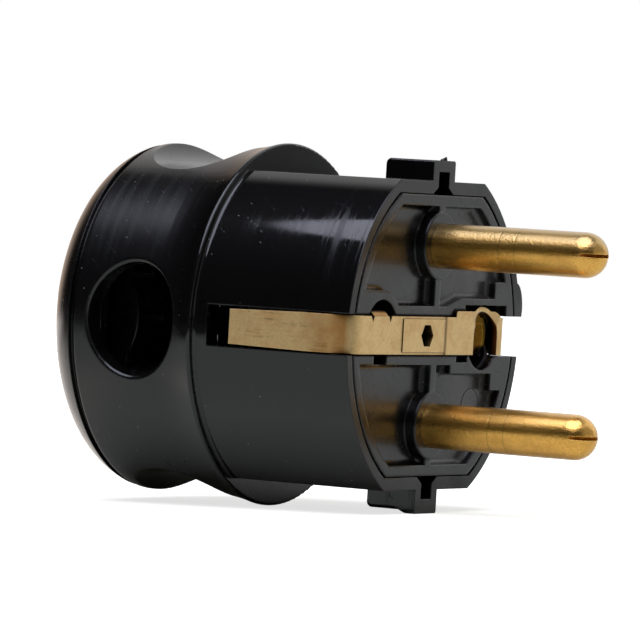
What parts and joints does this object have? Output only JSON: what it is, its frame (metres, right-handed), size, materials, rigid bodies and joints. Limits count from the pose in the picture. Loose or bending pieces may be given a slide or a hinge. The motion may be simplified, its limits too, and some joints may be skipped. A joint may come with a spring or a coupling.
{
  "type": "angled earthed plug",
  "caption": "Black round plug with brass pins, earth arms on its sides, an earth contact hole and finger scoops in the grip, whose cable enters the grip at right angles to the pins",
  "frame": {"origin": "on the plug's axis, midway between the pins, in the plane of the body's front face", "axes": "+X along the plug's axis, the way the pins point; +Z along the line through both pins; the cable enters from -Y"},
  "size_m": [0.0579, 0.0388, 0.0388],
  "materials": {
    "housing_black": "polished black moulding",
    "carrier_black": "satin black moulding",
    "pin_brass": "turned and polished brass",
    "strip_brass": "rolled and stamped brass",
    "screw_steel": "zinc plated steel"
  },
  "bodies": {
    "root": {"housing": "housing_black", "rear_cover": "housing_black", "pin_carrier": "carrier_black", "line_pin": "pin_brass", "neutral_pin": "pin_brass", "line_terminal_block": "pin_brass", "neutral_terminal_block": "pin_brass", "line_terminal_screw": "screw_steel", "neutral_terminal_screw": "screw_steel", "earth_strip": "strip_brass", "earth_socket": "strip_brass", "earth_wire_clamp": "screw_steel", "earth_terminal_screw": "screw_steel", "cord_grip_bar": "carrier_black", "cord_grip_screws": "screw_steel", "assembly_washer": "screw_steel", "assembly_screw": "screw_steel"}
  },
  "joints": []
}
